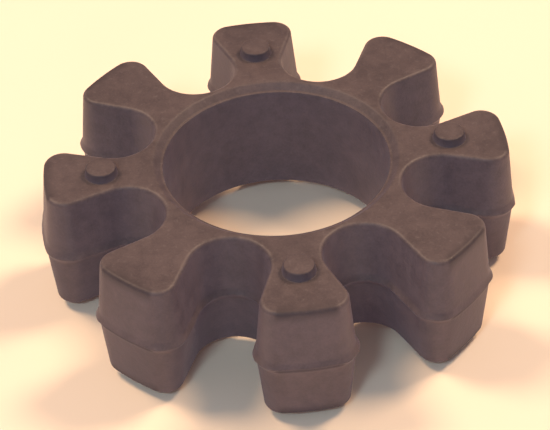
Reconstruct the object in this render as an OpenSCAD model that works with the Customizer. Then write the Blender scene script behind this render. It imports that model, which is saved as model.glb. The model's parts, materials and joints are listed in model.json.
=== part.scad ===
// Elastomer spider of a jaw coupling: one moulded rubber star with eight legs. The hubs' jaws
// fill the pockets between the legs. Millimetres, +Z along the shaft axis, origin at the middle.

/* [Star] */
// Diameter over the ends of the legs, at the parting line
outer_d = 105; // [98:1:120]
// Thickness between the two flat faces, without the spacer pips
thickness = 29; // [20:0.5:36]
// Number of legs, half of them with a pip on each face
legs = 8; // [6:2:10]
// Diameter of the circle through the centres of the pockets' round ends
pocket_circle_d = 74.6; // [73:0.2:77]
// Radius of a pocket's round end, at the parting line
pocket_r = 7.4; // [6:0.1:8]
// Angle by which each side of a pocket opens outward
flank_angle = 2; // [0:0.5:5]
// Radius of the legs' two outer corners
corner_r = 5.5; // [3.5:0.1:6]

/* [Moulding] */
// Draft of each half's side walls, away from the parting line
draft_angle = 5.5; // [1:0.5:6]
// Radius along the edges of the two flat faces
edge_r = 1; // [0.4:0.1:1.4]
// Height of the ridge left along the parting line
ridge_h = 1.2; // [0.4:0.1:2]
// How far the ridge stands out of the side walls
ridge_out = 0.45; // [0.1:0.05:0.6]

/* [Bore] */
// Diameter of the open centre, which clears the shaft ends
bore_d = 50; // [46:0.5:50.5]
// Width of the flat land around the bore, at the bottom of the recess
land_w = 0.5; // [0.3:0.1:0.9]
// Width of the sloped step from the land up to the flat face
step_w = 1.6; // [0.5:0.1:1.9]
// Depth of the recess below the flat face
recess_depth = 1.5; // [0.4:0.1:2]

/* [Spacer pips] */
// Diameter of a pip at its root
pip_d = 7.2; // [5:0.1:8]
// Height of a pip above the flat face
pip_h = 2; // [1:0.1:4]
// Diameter of the circle through the pips' centres
pip_circle_d = 77; // [74:0.5:84]
// Radius of a pip's top edge
pip_edge_r = 0.4; // [0.2:0.1:0.9]

/* [Hidden] */

outer_r = outer_d / 2;
half_t = thickness / 2;
bore_r = bore_d / 2;
pocket_centre_r = pocket_circle_d / 2;
pitch = 360 / legs;
rubber = [0.37, 0.31, 0.28];

// Steps along each round stretch of the outline, and up the rounded edge
pocket_steps = 9;
corner_steps = 6;
rim_steps = 2;
edge_steps = 3;
// How far the disc reaches outside the legs
over = 2;
// How far the walls run past the flat faces
lip = 0.2;
// Depth that a pip's root goes into the leg
pip_root = 0.5;
// Narrowing of a pip towards its top
pip_taper = 0.25;

function polar(r, a) = [r * cos(a), r * sin(a)];

function arc_points(centre, r, from, to, steps) =
    [for (i = [0:steps]) centre + polar(r, from + (to - from) * i / steps)];

// A leg's corner circle touches the pocket's straight side and, from inside, the outer circle.
// Its centre lies beside the side, at the distance from the axis that leaves corner_r outside it.
side_dir = polar(1, flank_angle);
side_start = [pocket_centre_r, 0] + polar(pocket_r + corner_r, 90 + flank_angle);
along = side_start * side_dir;
gap = side_start * side_start - pow(outer_r - corner_r, 2);
corner_centre = side_start + (sqrt(along * along - gap) - along) * side_dir;
corner_end = atan2(corner_centre.y, corner_centre.x);

// One side of a pocket that opens along +X, from the pocket's inner end to the middle of the leg.
// inset moves the whole outline inward, into the rubber, and keeps every arc's centre.
function pocket_side(inset) = concat(
    arc_points([pocket_centre_r, 0], pocket_r + inset, 180, 90 + flank_angle, pocket_steps),
    arc_points(corner_centre, corner_r - inset, flank_angle - 90, corner_end, corner_steps),
    [for (i = [1:rim_steps])
        polar(outer_r - inset, corner_end + (pitch / 2 - corner_end) * i / rim_steps)]
);

function turned(p, a) = [p.x * cos(a) - p.y * sin(a), p.x * sin(a) + p.y * cos(a)];

// The closed outline, with a leg on +X and the pockets half a pitch from it
function outline(inset) =
    let (side = pocket_side(inset), last = len(side) - 1)
    [for (k = [0:legs - 1])
        let (axis = pitch * (k + 0.5))
        each concat(
            [for (i = [last - 1:-1:1]) turned([side[i].x, -side[i].y], axis)],
            [for (p = side) turned(p, axis)]
        )];

// [height, inset] pairs up the wall of the upper half: ridge, draft, then the rounded edge, whose
// last step runs on by the lip, past the flat face that the disc cuts
function wall_inset(z) = z * tan(draft_angle);
function edge_point(a) = [
    half_t - edge_r * (1 - sin(a)),
    wall_inset(half_t - edge_r) + edge_r * (1 - cos(a))
];
edge_top = edge_point(90);
last_step = edge_top - edge_point(90 - 90 / edge_steps);
upper_wall = concat(
    [[ridge_h / 2, wall_inset(ridge_h / 2)]],
    [for (i = [0:edge_steps - 1]) edge_point(90 * i / edge_steps)],
    [edge_top + last_step * lip / last_step[0]]
);
wall = concat(
    [for (i = [len(upper_wall) - 1:-1:0]) [-upper_wall[i][0], upper_wall[i][1]]],
    [[0, -ridge_out]],
    upper_wall
);

// The outer walls of the star: rings of the outline, one at each height of the wall
module star_walls() {
    n = len(outline(0));
    rings = len(wall);
    points = [for (w = wall) each [for (p = outline(w[1])) [p.x, p.y, w[0]]]];
    bottom = [for (i = [0:n - 1]) i];
    top = [for (i = [n - 1:-1:0]) (rings - 1) * n + i];
    sides = [for (j = [0:rings - 2], i = [0:n - 1])
        let (next = (i + 1) % n)
        [j * n + i, (j + 1) * n + i, (j + 1) * n + next, j * n + next]];
    polyhedron(points = points, faces = concat([bottom, top], sides), convexity = 10);
}

// A disc wider than the star, with both flat faces, the bore, and the recess around it: a flat
// land inside a sloped step
module disc() {
    land_r = bore_r + land_w;
    step_r = land_r + step_w;
    land_z = half_t - recess_depth;
    upper = [[bore_r, land_z], [land_r, land_z], [step_r, half_t], [outer_r + over, half_t]];
    lower = [for (i = [len(upper) - 1:-1:0]) [upper[i].x, -upper[i].y]];
    rotate_extrude($fn = 128) polygon(concat(upper, lower));
}

// One pip at the origin, standing on the plane z = 0, with its root below the plane
module pip() {
    root_r = pip_d / 2;
    top_r = root_r - pip_taper;
    edge = arc_points([top_r - pip_edge_r, pip_h - pip_edge_r], pip_edge_r, 0, 90, 6);
    rotate_extrude($fn = 64)
        polygon(concat([[0, -pip_root], [root_r, -pip_root], [root_r, 0]], edge, [[0, pip_h]]));
}

// The pips of the upper face, on every second leg from the one at angle start
module pips(start) {
    for (a = [start:2 * pitch:start + 359])
        rotate([0, 0, a])
            translate([pip_circle_d / 2, 0, half_t])
                pip();
}

module spider() {
    color(rubber) {
        intersection() {
            disc();
            star_walls();
        }
        pips(0);
        mirror([0, 0, 1]) pips(pitch);
    }
}

spider();
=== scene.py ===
"""Looks of a moulded rubber coupling spider: one fine mesh that stands for the CAD node.

Shape sizes are in millimetres until the mesh is made. Metres are used from there on.
"""

import json
import math

import bpy
import numpy as np
from mathutils import Matrix, Vector, noise
from mathutils.geometry import delaunay_2d_cdt


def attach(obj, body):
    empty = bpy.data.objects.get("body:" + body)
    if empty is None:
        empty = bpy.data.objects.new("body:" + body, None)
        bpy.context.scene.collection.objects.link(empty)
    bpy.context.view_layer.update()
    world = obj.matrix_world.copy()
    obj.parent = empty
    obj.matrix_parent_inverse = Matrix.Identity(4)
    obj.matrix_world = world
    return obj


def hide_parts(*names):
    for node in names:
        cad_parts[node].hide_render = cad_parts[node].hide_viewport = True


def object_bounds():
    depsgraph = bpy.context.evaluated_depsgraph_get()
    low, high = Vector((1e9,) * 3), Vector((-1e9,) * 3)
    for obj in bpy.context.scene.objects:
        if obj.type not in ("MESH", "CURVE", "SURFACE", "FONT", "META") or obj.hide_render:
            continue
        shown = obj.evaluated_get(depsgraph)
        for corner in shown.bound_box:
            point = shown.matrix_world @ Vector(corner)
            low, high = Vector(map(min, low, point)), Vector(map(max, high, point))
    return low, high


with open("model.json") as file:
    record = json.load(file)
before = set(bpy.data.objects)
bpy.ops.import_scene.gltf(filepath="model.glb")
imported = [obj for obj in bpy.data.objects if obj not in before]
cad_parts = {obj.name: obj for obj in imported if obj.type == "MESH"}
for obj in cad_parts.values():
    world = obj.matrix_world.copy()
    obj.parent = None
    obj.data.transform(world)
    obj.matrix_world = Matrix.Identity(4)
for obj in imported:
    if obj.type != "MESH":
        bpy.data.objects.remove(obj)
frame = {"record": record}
cad_low, cad_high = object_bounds()

MM = 0.001
LEGS = 8
PITCH = math.tau / LEGS

# ---- Driving sizes in millimetres ----
# How far the CAD's ridge stands out, and the sizes that the frame gives
RIDGE_OUT = 0.45
OUTER_R = cad_high.x / MM - RIDGE_OUT
MOUNTS = {mount["name"]: mount for mount in frame["record"]["mounts"]}
BORE_R = MOUNTS["bore"]["dims"]["r_mm"]
LAND_Z = MOUNTS["bore"]["dims"]["length_mm"] / 2
PIP_TOP = MOUNTS["upper_pip_face"]["pos_m"][2] / MM
PIP_CIRCLE_R = MOUNTS["upper_pip_face"]["pos_m"][0] / MM

# The outline's arcs, and the walls' draft and rounded edges
FLANK_ANGLE = math.radians(2)
POCKET_CENTRE_R = 37.3
POCKET_R = 7.4
CORNER_R = 5.5
DRAFT = math.tan(math.radians(5.5))
EDGE_R = 1.0

# The recess around the bore, and the pips
LAND_W = 0.5
STEP_W = 1.6
STEP_BEND = 0.35
LAND_BEND = 0.2
BORE_BEND = 0.28
PIP_H = 2.0
PIP_R = 3.6
PIP_TAPER = 0.25
PIP_EDGE_R = 0.4
PIP_ROOT_FILLET = 0.2
HALF_T = PIP_TOP - PIP_H

# The parting ridge, highest along the pockets, and the groove under it on the legs' outer faces
RIDGE_HALF_H = 1.5
RIDGE_FALL = 1.3
RIDGE_MEAN = 0.84
RIDGE_VARY = 0.16
FLANK_RIDGE = 0.72
RIM_RIDGE = 0.42
RIM_BLEND = 0.35
GROOVE_Z = -0.5
GROOVE_W = 0.3
GROOVE_DEPTH = 0.25

# Painted shade on the legs' outer faces, in the groove and in a band below the flat face,
# and on the pips' sides and roots
CREASE_W = 0.4
CREASE_SHADE = 0.9
EDGE_SHADE_BELOW = 0.8
EDGE_SHADE_W = 1.1
PIP_ROOT_SHADE = 0.25
PIP_SIDE_SHADE = 0.8

# Rubbing from 0 to 1, also standing for painted highlight, and where the painted highlight peaks
# round the flat faces' edges, in radians
RIDGE_WEAR_HIGHLIGHT = 0.6
STEP_WEAR = 0.2
BORE_WEAR = 0.35
PIP_WEAR = 0.2
EDGE_HIGHLIGHT_AT = 1.1
EDGE_HIGHLIGHT_W = 0.35

# Steps of the fine mesh
POCKET_STEPS = 26
FLANK_STEPS = 8
CORNER_STEPS = 16
RIM_STEPS = 8
WALL_STEPS = 20
PARTING_STEPS = 16
EDGE_STEPS = 7
BEND_STEPS = 4
BORE_STEPS = 8
RING_STEPS = 256
PIP_STEPS = 48
FACE_GRID = 1.6
# Least distance from a grid point to the face's edges, as a share of the grid's step
GRID_GAP = 0.55


def polar(radius, angle):
    """Points at the given radii and angles, as rows of x and y."""
    return np.stack([radius * np.cos(angle), radius * np.sin(angle)], axis=-1)


def turned(points, angle):
    """The points turned about the axis, anticlockwise."""
    c, s = math.cos(angle), math.sin(angle)
    return points @ np.array([[c, s], [-s, c]])


def corner_centre():
    """Centre of a leg's corner arc, which touches the pocket's side and the outer circle."""
    along = polar(1.0, FLANK_ANGLE)
    start = np.array([POCKET_CENTRE_R, 0]) + polar(POCKET_R + CORNER_R, math.pi / 2 + FLANK_ANGLE)
    reach = start @ along
    gap = start @ start - (OUTER_R - CORNER_R) ** 2
    return start + (math.sqrt(reach * reach - gap) - reach) * along


def pocket_side():
    """One side of the pocket on +X, as base points and the outward unit normal at each."""
    centre = np.array([POCKET_CENTRE_R, 0])
    corner = corner_centre()
    corner_angle = math.atan2(corner[1], corner[0])
    turn = np.linspace(math.pi, math.pi / 2 + FLANK_ANGLE, POCKET_STEPS + 1)
    arc = centre + polar(POCKET_R, turn)
    arc_normal = -polar(1.0, turn)
    sweep = np.linspace(FLANK_ANGLE - math.pi / 2, corner_angle, CORNER_STEPS + 1)
    bend = corner + polar(CORNER_R, sweep)
    bend_normal = polar(1.0, sweep)
    t = np.linspace(0, 1, FLANK_STEPS + 1)[1:-1, None]
    flank = arc[-1] * (1 - t) + bend[0] * t
    flank_normal = np.repeat(arc_normal[-1:], len(flank), axis=0)
    rest = np.linspace(corner_angle, PITCH / 2, RIM_STEPS + 1)[1:]
    rim = polar(OUTER_R, rest)
    rim_normal = polar(1.0, rest)
    return (
        np.vstack([arc, flank, bend, rim]),
        np.vstack([arc_normal, flank_normal, bend_normal, rim_normal]),
    )


def outline():
    """The closed outline at the parting line, with its outward normals, anticlockwise."""
    points, normals = pocket_side()
    flip = np.array([1, -1])
    sector = np.vstack([points[-2:0:-1] * flip, points])
    sector_normals = np.vstack([normals[-2:0:-1] * flip, normals])
    turns = [PITCH * (k + 0.5) for k in range(LEGS)]
    return (
        np.vstack([turned(sector, a) for a in turns]),
        np.vstack([turned(sector_normals, a) for a in turns]),
    )


def smooth(t):
    """An even rise from 0 to 1 that starts and ends flat."""
    t = np.clip(t, 0, 1)
    return t * t * (3 - 2 * t)


def rim_share(base):
    """1 along a leg's outer face, falling to 0 round its corners and on its sides."""
    return smooth((np.hypot(base[:, 0], base[:, 1]) - OUTER_R + RIM_BLEND) / RIM_BLEND)


def ridge_height(base, rim):
    """How far the parting ridge stands out at each outline point, less on the legs' ends."""
    slow = np.array([noise.noise(Vector((x, y, 3.0)) * 0.21) for x, y in base])
    quick = np.array([noise.noise(Vector((x, y, 9.0)) * 0.8) for x, y in base])
    full = RIDGE_MEAN + np.clip(slow * 0.26 + quick * 0.12, -RIDGE_VARY, RIDGE_VARY)
    return full * (FLANK_RIDGE * (1 - rim) + RIM_RIDGE * rim)


def parting_offset(z, height, rim):
    """How far the wall stands out at height z: the ridge, and the groove under a trimmed face."""
    crest = max(0.0, 1 - abs(z) / RIDGE_HALF_H) ** RIDGE_FALL
    groove = math.exp(-((z - GROOVE_Z) / GROOVE_W) ** 2)
    return height * crest - GROOVE_DEPTH * groove * rim


def wall_heights():
    """[z, inset, wear and painted highlight] up the whole wall, from the lower face's edge to the
    upper one's.
    """
    start = HALF_T - EDGE_R
    parting = list(np.linspace(-RIDGE_HALF_H, RIDGE_HALF_H, PARTING_STEPS + 1))
    plain = list(np.linspace(RIDGE_HALF_H, start, WALL_STEPS + 1)[1:])
    edge = []
    for i in range(1, EDGE_STEPS + 1):
        a = math.pi / 2 * i / EDGE_STEPS
        inset = start * DRAFT + EDGE_R * (1 - math.cos(a))
        # Painted highlight: the rubbing peaks where a highlight sits on the rounded edge, just
        # short of the flat face
        wear_and_highlight = math.exp(-((a - EDGE_HIGHLIGHT_AT) / EDGE_HIGHLIGHT_W) ** 2)
        edge.append((start + EDGE_R * math.sin(a), inset, wear_and_highlight))
    upper = [(z, z * DRAFT, 0.0) for z in plain] + edge
    lower = [(-z, inset, wear_and_highlight) for z, inset, wear_and_highlight in upper[::-1]]
    # Painted highlight along the parting ridge's crest, together with rubbing
    middle = [(z, abs(z) * DRAFT, RIDGE_WEAR_HIGHLIGHT * (1 - abs(z) / RIDGE_HALF_H)) for z in parting]
    return lower + middle + upper


def curve(start, corner, end, steps):
    """Points of a quadratic curve that rounds a corner."""
    return [
        tuple((1 - t) ** 2 * a + 2 * t * (1 - t) * b + t * t * c
              for a, b, c in zip(start, corner, end))
        for t in (i / steps for i in range(steps + 1))
    ]


def ring_profile():
    """[radius, z, wear and painted highlight] from the flat face over the step, the land and down
    the bore.
    """
    step_r = BORE_R + LAND_W + STEP_W
    land_r = BORE_R + LAND_W
    slope = (HALF_T - LAND_Z) / STEP_W
    step_bend = [
        (step_r + STEP_BEND, HALF_T),
        (step_r, HALF_T),
        (step_r - STEP_BEND, HALF_T - STEP_BEND * slope),
    ]
    land_bend = [
        (land_r + LAND_BEND, LAND_Z + LAND_BEND * slope),
        (land_r, LAND_Z),
        (land_r - LAND_BEND, LAND_Z),
    ]
    bore_bend = [(BORE_R + BORE_BEND, LAND_Z), (BORE_R, LAND_Z), (BORE_R, LAND_Z - BORE_BEND)]
    bends = ((step_bend, STEP_WEAR), (land_bend, 0.0), (bore_bend, BORE_WEAR))
    upper = [(*point, wear_and_highlight) for bend, wear_and_highlight in bends for point in curve(*bend, BEND_STEPS)]
    bore_heights = np.linspace(LAND_Z - BORE_BEND, 0, BORE_STEPS + 1)[1:-1]
    middle = [(BORE_R, z, 0.0) for z in bore_heights]
    whole = upper + middle
    return whole + [(BORE_R, 0.0, 0.0)] + [(r, -z, wear_and_highlight) for r, z, wear_and_highlight in whole[::-1]]


def pip_profile():
    """[radius, z above the face, wear and painted highlight, painted shade] from a pip's root to
    the middle of its top.
    """
    rings = []
    for i in range(BEND_STEPS + 1):
        a = math.pi / 2 * i / BEND_STEPS
        out = PIP_ROOT_FILLET * (1 - math.sin(a))
        # Painted shade round the pip's root
        rings.append((PIP_R + out, PIP_ROOT_FILLET * (1 - math.cos(a)), 0.0, PIP_ROOT_SHADE))
    top_r = PIP_R - PIP_TAPER
    for i in range(EDGE_STEPS + 1):
        a = math.pi / 2 * i / EDGE_STEPS
        inward = PIP_EDGE_R * (1 - math.cos(a))
        # Painted shade down the pip's side, fading towards its top
        painted_shade = PIP_SIDE_SHADE * math.cos(a)
        rings.append((top_r - inward, PIP_H - PIP_EDGE_R * (1 - math.sin(a)), 0.0, painted_shade))
    rings += [((top_r - PIP_EDGE_R) * share, PIP_H, PIP_WEAR, 0.0) for share in (0.66, 0.33)]
    return rings


class Mesh:
    """Vertices and faces gathered in millimetres, with the wear and painted highlight, and the
    painted shade, at each vertex.
    """

    def __init__(self):
        self.points = []
        self.wear_and_highlight = []
        self.painted_shade = []
        self.faces = []

    def add(self, xy, z, wear_and_highlight=0.0, painted_shade=0.0):
        """Adds points at one height and returns their indices."""
        start = len(self.points)
        self.points += [(x, y, z) for x, y in xy]
        self.wear_and_highlight += list(np.broadcast_to(wear_and_highlight, len(xy)))
        self.painted_shade += list(np.broadcast_to(painted_shade, len(xy)))
        return list(range(start, len(self.points)))

    def band(self, lower, upper):
        """Joins two closed rings of the same length."""
        n = len(lower)
        self.faces += [
            (lower[i], lower[(i + 1) % n], upper[(i + 1) % n], upper[i]) for i in range(n)
        ]

    def fan(self, ring, z):
        """Closes a ring with triangles to a point in its middle."""
        centre = np.mean([self.points[i][:2] for i in ring], axis=0)
        tip = self.add([centre], z, self.wear_and_highlight[ring[0]])[0]
        n = len(ring)
        self.faces += [(ring[i], ring[(i + 1) % n], tip) for i in range(n)]


def inside(points, loop):
    """Which points lie inside a closed loop."""
    x, y = points[:, 0][:, None], points[:, 1][:, None]
    a, b = loop, np.roll(loop, -1, axis=0)
    spans = (a[:, 1] > y) != (b[:, 1] > y)
    rise = np.where(b[:, 1] == a[:, 1], 1, b[:, 1] - a[:, 1])
    cross = a[:, 0] + (y - a[:, 1]) * (b[:, 0] - a[:, 0]) / rise
    return (spans & (x < cross)).sum(axis=1) % 2 == 1


def on_face(points, loops):
    """Which points lie inside the first loop and outside all the others."""
    found = inside(points, loops[0])
    for hole in loops[1:]:
        found &= ~inside(points, hole)
    return found


def face_grid(loops):
    """Grid points on the flat face, in staggered rows, that keep clear of its edges."""
    grid = np.arange(-OUTER_R, OUTER_R, FACE_GRID)
    gx, gy = np.meshgrid(grid, grid)
    gx = gx + (np.arange(len(grid)) % 2)[:, None] * FACE_GRID / 2
    spots = np.stack([gx.ravel(), gy.ravel()], axis=1)
    spots = spots[on_face(spots, loops)]
    edge_points = np.vstack(loops)
    gap = FACE_GRID * GRID_GAP
    clear = [np.min(np.sum((edge_points - p) ** 2, axis=1)) > gap ** 2 for p in spots]
    return spots[clear]


def flat_face(mesh, outer, holes, z, upward):
    """Fills the flat face between the outer ring and the holes, with a grid of inner points."""
    rings = [outer] + holes
    loops = [np.array([mesh.points[i][:2] for i in ring]) for ring in rings]
    index = [i for ring in rings for i in ring] + mesh.add(face_grid(loops), z)
    edges = []
    first = 0
    for ring in rings:
        n = len(ring)
        edges += [(first + i, first + (i + 1) % n) for i in range(n)]
        first += n
    flat = [Vector(mesh.points[i][:2]) for i in index]
    verts, _, faces, origins, _, _ = delaunay_2d_cdt(flat, edges, [], 0, 1e-6)
    back = [index[o[0]] for o in origins]
    xy = np.array([tuple(v) for v in verts])
    centres = np.array([xy[list(f)].mean(axis=0) for f in faces])
    for face, use in zip(faces, on_face(centres, loops)):
        if use:
            corners = [back[i] for i in face]
            mesh.faces.append(tuple(corners if upward else corners[::-1]))


def add_walls(mesh):
    """Adds the star's outer walls and returns their lowest and highest rings."""
    base, normals = outline()
    rim = rim_share(base)
    height = ridge_height(base, rim)
    walls = []
    for z, inset, wear_and_highlight in wall_heights():
        out = parting_offset(z, height, rim) - inset
        # Painted shade: a dark band just under the flat face's rounded edge, and a dark line
        # along the groove, on the legs' outer faces
        band = math.exp(-((abs(z) - HALF_T + EDGE_SHADE_BELOW) / EDGE_SHADE_W) ** 2)
        crease = CREASE_SHADE * math.exp(-((z - GROOVE_Z) / CREASE_W) ** 2)
        xy = base + normals * np.reshape(out, (-1, 1))
        walls.append(mesh.add(xy, z, wear_and_highlight * (1 - rim), max(band, crease) * rim))
    for lower, upper in zip(walls, walls[1:]):
        mesh.band(lower, upper)
    return walls[0], walls[-1]


def add_bore(mesh):
    """Adds both recesses and the bore, and returns their lowest and highest rings."""
    around = np.arange(RING_STEPS) * math.tau / RING_STEPS
    bore = [mesh.add(polar(r, around), z, wear_and_highlight) for r, z, wear_and_highlight in ring_profile()]
    for upper, lower in zip(bore, bore[1:]):
        mesh.band(upper, lower)
    return bore[-1], bore[0]


def add_pip(mesh, leg, side):
    """Adds the pip on one leg, on the upper face if side is 1, and returns its root ring."""
    around = np.arange(PIP_STEPS) * math.tau / PIP_STEPS
    centre = polar(PIP_CIRCLE_R, leg * PITCH)
    rings = [
        mesh.add(centre + polar(r, around), side * (HALF_T + z), wear_and_highlight, painted_shade)
        for r, z, wear_and_highlight, painted_shade in pip_profile()
    ]
    for lower, upper in zip(rings, rings[1:]):
        mesh.band(*((lower, upper) if side > 0 else (upper, lower)))
    mesh.fan(rings[-1][::side], side * PIP_TOP)
    return rings[0]


def build_spider():
    """The whole spider as one closed mesh. Returns its Blender object."""
    mesh = Mesh()
    wall_low, wall_high = add_walls(mesh)
    bore_low, bore_high = add_bore(mesh)
    for side, outer, inner in ((1, wall_high, bore_high), (-1, wall_low, bore_low)):
        first_leg = 0 if side > 0 else 1
        pips = [add_pip(mesh, leg, side) for leg in range(first_leg, LEGS, 2)]
        flat_face(mesh, outer, [inner] + pips, side * HALF_T, side > 0)
    data = bpy.data.meshes.new("spider_rubber")
    data.from_pydata([tuple(c * MM for c in p) for p in mesh.points], [], mesh.faces)
    for name, values in (("wear_and_highlight", mesh.wear_and_highlight), ("painted_shade", mesh.painted_shade)):
        data.attributes.new(name, "FLOAT", "POINT").data.foreach_set("value", values)
    data.shade_smooth()
    piece = bpy.data.objects.new("spider_rubber", data)
    bpy.context.scene.collection.objects.link(piece)
    return piece


# ---- Materials: linear colours, and sizes in metres ----
RUBBER_DARK = (0.062, 0.0445, 0.0415, 1)
RUBBER_LIGHT = (0.096, 0.0695, 0.064, 1)
RUBBER_DUST = (0.20, 0.165, 0.15, 1)
# Colour of rubbed edges, which also carries the painted highlights along edges and the ridge
RUBBER_WORN_HIGHLIGHT = (0.175, 0.138, 0.115, 1)
# Colour of the painted shade under the flat faces' edges, along the groove and round the pips
RUBBER_PAINTED_SHADE = (0.030, 0.021, 0.021, 1)
FLOOR_LOW = (0.94, 0.77, 0.565, 1)
FLOOR_HIGH = (0.96, 0.80, 0.585, 1)

# Sizes of the noises' spots
BROAD_SIZE = 0.018
MOTTLE_SIZE = 0.0026
GRAIN_SIZE = 0.0005
SPECK_SIZE = 0.0012
SHADE_BREAKUP_SIZE = 0.006
CLOUD_SIZE = 0.09

# How much of each layer's colour covers the one below, at most
DUST_COVER = 0.28
WEAR_HIGHLIGHT_COVER = 0.32
PAINTED_SHADE_COVER = 0.85

# Depths of the bumps, and the gloss
GRAIN_DEPTH = 0.00012
MOTTLE_DEPTH = 0.0004
RUBBER_ROUGHNESS = (0.46, 0.62)
RUBBER_SPECULAR = 0.35
FLOOR_ROUGHNESS = 0.85
FLOOR_SPECULAR = 0.2


class Graph:
    """Short calls for building one material's node tree."""

    def __init__(self, name):
        self.material = bpy.data.materials.new(name)
        self.material.use_nodes = True
        self.tree = self.material.node_tree
        self.shader = self.tree.nodes["Principled BSDF"]
        self.place = self.add("ShaderNodeTexCoord").outputs["Object"]

    def add(self, kind, **inputs):
        """A node of a kind, with inputs fed by name, where _ stands for a space."""
        node = self.tree.nodes.new(kind)
        for name, value in inputs.items():
            self.feed(node.inputs[name.replace("_", " ")], value)
        return node

    def feed(self, socket, value):
        """Links another node's output to a socket, or sets the socket to a plain value."""
        if isinstance(value, bpy.types.NodeSocket):
            self.tree.links.new(value, socket)
        else:
            socket.default_value = value

    def noise(self, size, detail, roughness=0.55):
        """Noise from 0 to 1 whose spots are about size metres across."""
        node = self.add("ShaderNodeTexNoise", Vector=self.place, Scale=1 / size,
                        Detail=detail, Roughness=roughness)
        return node.outputs["Fac"]

    def math(self, operation, first, second):
        """One operation on two values, clamped to 0..1."""
        node = self.tree.nodes.new("ShaderNodeMath")
        node.operation = operation
        node.use_clamp = True
        self.feed(node.inputs[0], first)
        self.feed(node.inputs[1], second)
        return node.outputs[0]

    def spread(self, value, low, high, out_low=0.0, out_high=1.0):
        """Maps low..high to out_low..out_high, clamped."""
        node = self.add("ShaderNodeMapRange", Value=value, From_Min=low, From_Max=high,
                        To_Min=out_low, To_Max=out_high)
        return node.outputs["Result"]

    def mix(self, factor, first, second):
        """The second colour over the first, by factor."""
        node = self.tree.nodes.new("ShaderNodeMix")
        node.data_type = "RGBA"
        for socket, value in zip((node.inputs[0], node.inputs[6], node.inputs[7]),
                                 (factor, first, second)):
            self.feed(socket, value)
        return node.outputs[2]

    def attribute(self, name):
        """A value that the mesh stores at each vertex."""
        node = self.add("ShaderNodeAttribute")
        node.attribute_name = name
        return node.outputs["Fac"]

    def weighted(self, first, first_weight, second, second_weight):
        """The sum of two values, each times its weight."""
        return self.math("ADD", self.math("MULTIPLY", first, first_weight),
                         self.math("MULTIPLY", second, second_weight))

    def layer(self, mask, pattern, cover):
        """How far a layer covers: a mask broken up by a pattern, times its greatest cover."""
        return self.math("MULTIPLY", self.math("MULTIPLY", mask, pattern), cover)

    def bump(self, height, strength, depth, normal=None):
        """A normal that follows height, on top of another one where it is given."""
        node = self.add("ShaderNodeBump", Height=height, Strength=strength, Distance=depth)
        if normal is not None:
            self.feed(node.inputs["Normal"], normal)
        return node.outputs["Normal"]


def rubber_material():
    """Matte moulded rubber: warm brown-black, mottled, dusty on top, rubbed along its edges with
    a painted highlight there, and with painted shade under edges, in the groove and round the
    pips.
    """
    graph = Graph("moulded_rubber")
    broad = graph.noise(BROAD_SIZE, 3)
    mottle = graph.noise(MOTTLE_SIZE, 5, 0.6)
    grain = graph.noise(GRAIN_SIZE, 3)

    # Base colour, then dust on what faces upward, then rubbed edges with painted highlight, then
    # painted shade
    fine = graph.weighted(mottle, 0.4, grain, 0.3)
    tone = graph.spread(graph.math("ADD", graph.math("MULTIPLY", broad, 0.3), fine), 0.40, 0.62)
    colour = graph.mix(tone, RUBBER_DARK, RUBBER_LIGHT)
    facing = graph.add("ShaderNodeSeparateXYZ",
                       Vector=graph.add("ShaderNodeNewGeometry").outputs["Normal"])
    upward = graph.spread(facing.outputs["Z"], 0.2, 0.95)
    specks = graph.spread(graph.noise(SPECK_SIZE, 6, 0.7), 0.56, 0.72)
    colour = graph.mix(graph.layer(specks, upward, DUST_COVER), colour, RUBBER_DUST)
    patches = graph.spread(mottle, 0.35, 0.62, 0.25, 1.0)
    # Rubbed edges, which also paint a highlight along the flat faces' edges and the parting ridge
    wear_highlight = graph.layer(graph.attribute("wear_and_highlight"), patches, WEAR_HIGHLIGHT_COVER)
    colour = graph.mix(wear_highlight, colour, RUBBER_WORN_HIGHLIGHT)
    # Painted shade under the edges, along the groove and round the pips, broken up by noise
    shade_breakup = graph.spread(graph.noise(SHADE_BREAKUP_SIZE, 4, 0.6), 0.3, 0.6, 0.7, 1.0)
    shade_layer = graph.layer(graph.attribute("painted_shade"), shade_breakup, PAINTED_SHADE_COVER)
    colour = graph.mix(shade_layer, colour, RUBBER_PAINTED_SHADE)
    graph.feed(graph.shader.inputs["Base Color"], colour)

    # Uneven gloss, a little smoother where it is rubbed, and a fine moulded skin
    rough = graph.spread(graph.weighted(mottle, 0.5, grain, 0.5), 0.35, 0.65, *RUBBER_ROUGHNESS)
    polish = graph.math("MULTIPLY", wear_highlight, 0.2)
    graph.feed(graph.shader.inputs["Roughness"], graph.math("SUBTRACT", rough, polish))
    skin = graph.bump(grain, 0.35, GRAIN_DEPTH)
    skin = graph.bump(mottle, 0.25, MOTTLE_DEPTH, skin)
    graph.feed(graph.shader.inputs["Normal"], skin)
    graph.shader.inputs["Specular IOR Level"].default_value = RUBBER_SPECULAR
    return graph.material


def floor_material():
    """Pale matte table top, with barely visible unevenness."""
    graph = Graph("pale_table")
    cloud = graph.spread(graph.noise(CLOUD_SIZE, 2), 0.3, 0.7)
    graph.feed(graph.shader.inputs["Base Color"], graph.mix(cloud, FLOOR_LOW, FLOOR_HIGH))
    graph.shader.inputs["Roughness"].default_value = FLOOR_ROUGHNESS
    graph.shader.inputs["Specular IOR Level"].default_value = FLOOR_SPECULAR
    return graph.material


# ---- Stage, light and camera: metres, and angles in degrees ----
FLOOR_SIZE = 4.0
WARM = (1.0, 0.695, 0.485)
COOL = (0.58, 0.80, 1.0)
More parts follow.
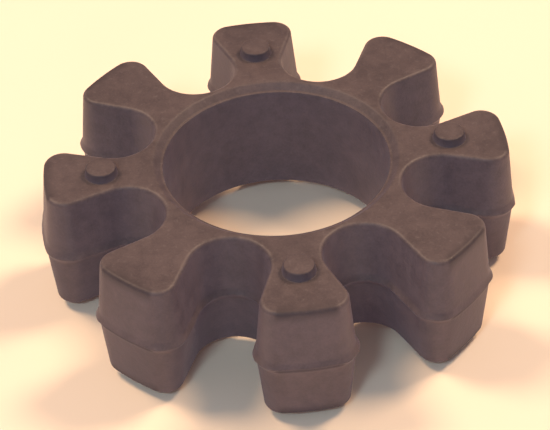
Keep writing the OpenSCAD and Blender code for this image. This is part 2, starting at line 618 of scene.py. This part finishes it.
# Name, azimuth, elevation, distance, diameter, power in watts, colour
LAMPS = (
    ("back_left", 243, 57, 1.8, 0.54, 23.6, WARM),
    ("back_right", 111, 55, 1.2, 0.35, 11.4, WARM),
    ("front_left", -26, 45, 1.2, 0.21, 4.0, COOL),
)
ROOM_COLOUR = (0.83, 0.775, 1.0)
ROOM_STRENGTH = 0.318
FILL_COUNT = 6
FILL_ELEVATION = -25
FILL_SPREAD = 40
FILL_STRENGTH = 0.86
FILL_COLOUR = (0.80, 0.72, 1.0)
CAMERA_AZIMUTH = -5.45
CAMERA_ELEVATION = 40.25
CAMERA_ROLL = -2.5
CAMERA_DISTANCE = 0.5066
CAMERA_TARGET = Vector((-0.0011, -0.0029, 0))
CAMERA_LENS = 148.9
CAMERA_SENSOR = 36


def add_floor(z):
    """One plane under the part, at height z."""
    half = FLOOR_SIZE / 2
    data = bpy.data.meshes.new("floor")
    corners = [(-half, -half, z), (half, -half, z), (half, half, z), (-half, half, z)]
    data.from_pydata(corners, [], [(0, 1, 2, 3)])
    floor = bpy.data.objects.new("floor", data)
    bpy.context.scene.collection.objects.link(floor)
    data.materials.append(floor_material())


def direction(azimuth, elevation):
    """Unit vector from the object towards a place, with azimuth 0 at -Y, turning towards +X."""
    a, e = math.radians(azimuth), math.radians(elevation)
    return Vector((math.sin(a) * math.cos(e), -math.cos(a) * math.cos(e), math.sin(e)))


def add_light(name, azimuth, elevation, distance, size, power, colour):
    """A soft disc lamp that faces the part."""
    lamp = bpy.data.lights.new(name, "AREA")
    lamp.shape = "DISK"
    lamp.size = size
    lamp.energy = power
    lamp.color = colour
    holder = bpy.data.objects.new(name, lamp)
    towards = direction(azimuth, elevation)
    holder.location = towards * distance
    holder.rotation_euler = towards.to_track_quat("Z", "Y").to_euler()
    bpy.context.scene.collection.objects.link(holder)


def add_fill(name, azimuth):
    """Weak light from below, without shadows, as a table throws it back up at every wall."""
    lamp = bpy.data.lights.new(name, "SUN")
    lamp.energy = FILL_STRENGTH
    lamp.color = FILL_COLOUR
    lamp.angle = math.radians(FILL_SPREAD)
    lamp.use_shadow = False
    holder = bpy.data.objects.new(name, lamp)
    holder.rotation_euler = direction(azimuth, FILL_ELEVATION).to_track_quat("Z", "Y").to_euler()
    bpy.context.scene.collection.objects.link(holder)


def add_camera():
    """The scene's camera, tilted by the roll about its own line of sight."""
    roll = math.radians(CAMERA_ROLL)
    back = direction(CAMERA_AZIMUTH, CAMERA_ELEVATION)
    right = Vector((0, 0, 1)).cross(back).normalized()
    up = back.cross(right)
    rolled_right = right * math.cos(roll) + up * math.sin(roll)
    rolled_up = up * math.cos(roll) - right * math.sin(roll)
    camera = bpy.data.cameras.new("camera")
    camera.sensor_width = CAMERA_SENSOR
    camera.lens = CAMERA_LENS
    holder = bpy.data.objects.new("camera", camera)
    axes = Matrix((rolled_right, rolled_up, back)).transposed()
    place = Matrix.Translation(CAMERA_TARGET + back * CAMERA_DISTANCE)
    holder.matrix_world = place @ axes.to_4x4()
    bpy.context.scene.collection.objects.link(holder)
    bpy.context.scene.camera = holder


def set_world():
    """Even light from the room all round."""
    world = bpy.data.worlds.new("room")
    bpy.context.scene.world = world
    world.use_nodes = True
    background = world.node_tree.nodes["Background"]
    background.inputs["Color"].default_value = (*ROOM_COLOUR, 1)
    background.inputs["Strength"].default_value = ROOM_STRENGTH


spider = build_spider()
spider.data.materials.append(rubber_material())
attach(spider, "root")
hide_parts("spider")

add_floor(cad_low.z)
for lamp in LAMPS:
    add_light(*lamp)
for i in range(FILL_COUNT):
    add_fill(f"fill_{i}", 360 / FILL_COUNT * i)
set_world()
add_camera()
bpy.context.scene.view_settings.view_transform = "Standard"
